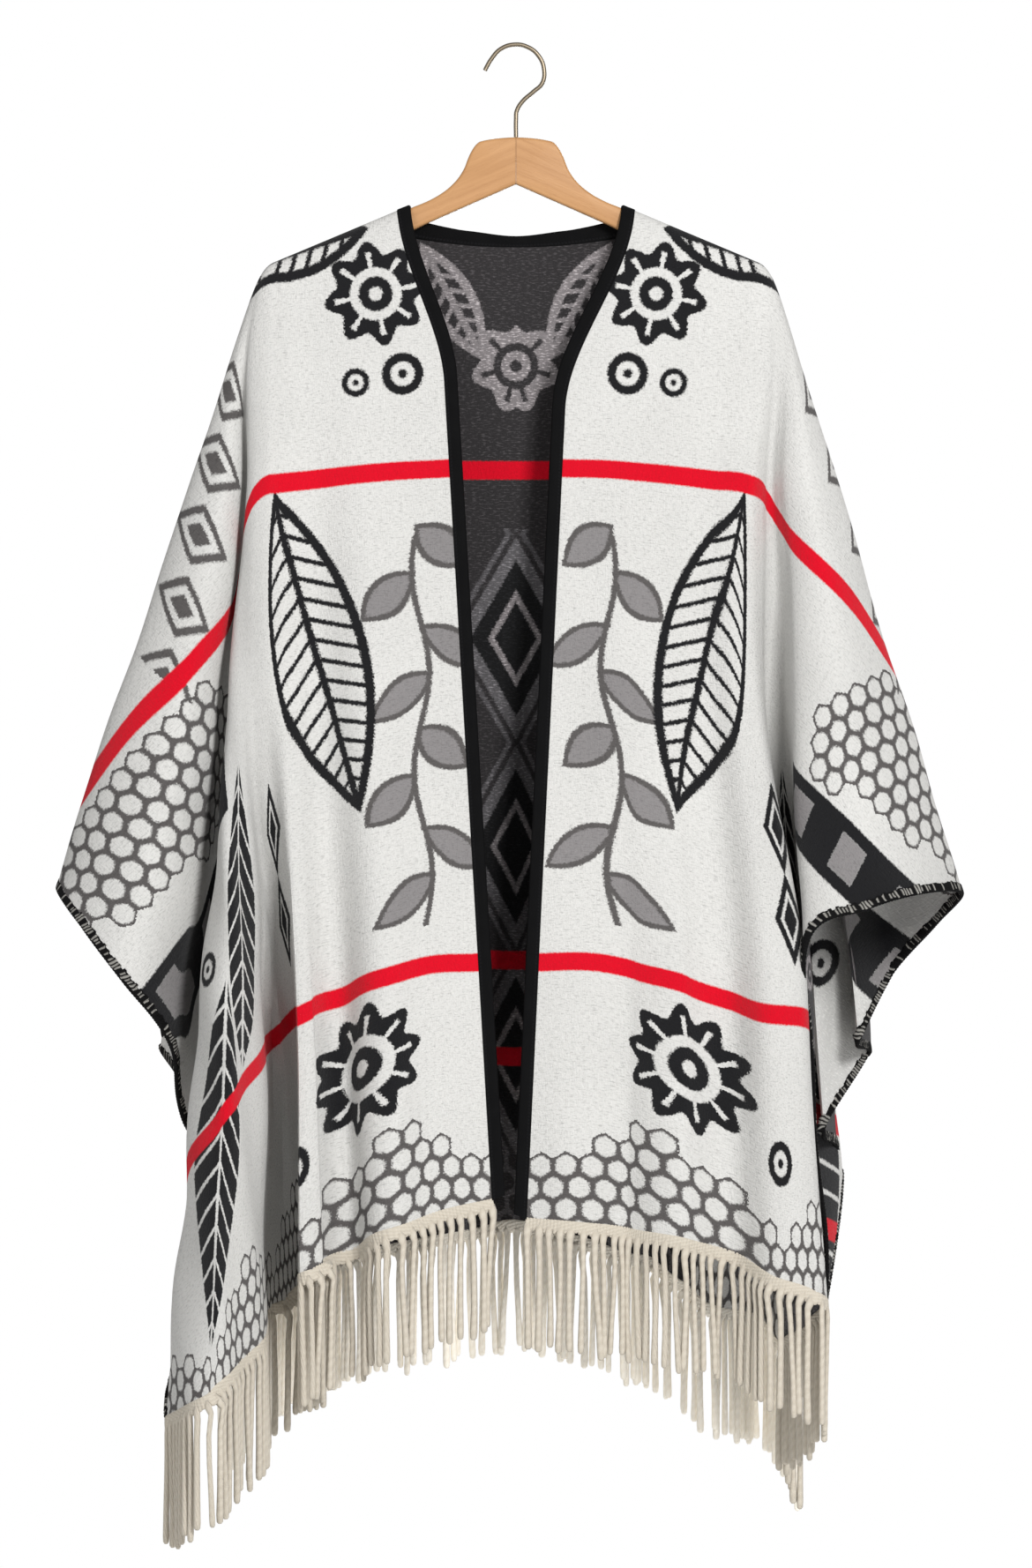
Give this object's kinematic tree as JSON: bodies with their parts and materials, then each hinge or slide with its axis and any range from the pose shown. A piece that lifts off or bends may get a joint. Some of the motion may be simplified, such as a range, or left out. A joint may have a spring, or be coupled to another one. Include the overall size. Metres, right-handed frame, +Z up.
{
  "type": "cape on a hanger",
  "caption": "Open-fronted blanket cape with ribbon-bound front edges and fringed hems, hanging on a flat wooden clothes hanger.",
  "frame": {"origin": "the point inside the top of the hook where a rail touches it", "axes": "+Z up, the open front faces -Y, +X to the viewer's right"},
  "size_m": [0.8235, 0.3835, 1.3585],
  "materials": {
    "cloth": "napped jacquard blanket cloth, pale face and dark reverse",
    "ribbon": "matt woven ribbon",
    "yarn": "twisted yarn",
    "wood": "clear satin lacquer on beech",
    "steel": "satin"
  },
  "bodies": {
    "root": {"front_left": "cloth", "front_right": "cloth", "back": "cloth", "binding_left": "ribbon", "binding_right": "ribbon", "binding_neck": "ribbon", "fringe_front_left": "yarn", "fringe_front_right": "yarn", "fringe_back": "yarn", "hanger_arm_left": "wood", "hanger_arm_right": "wood", "hanger_hook": "steel"}
  },
  "joints": []
}
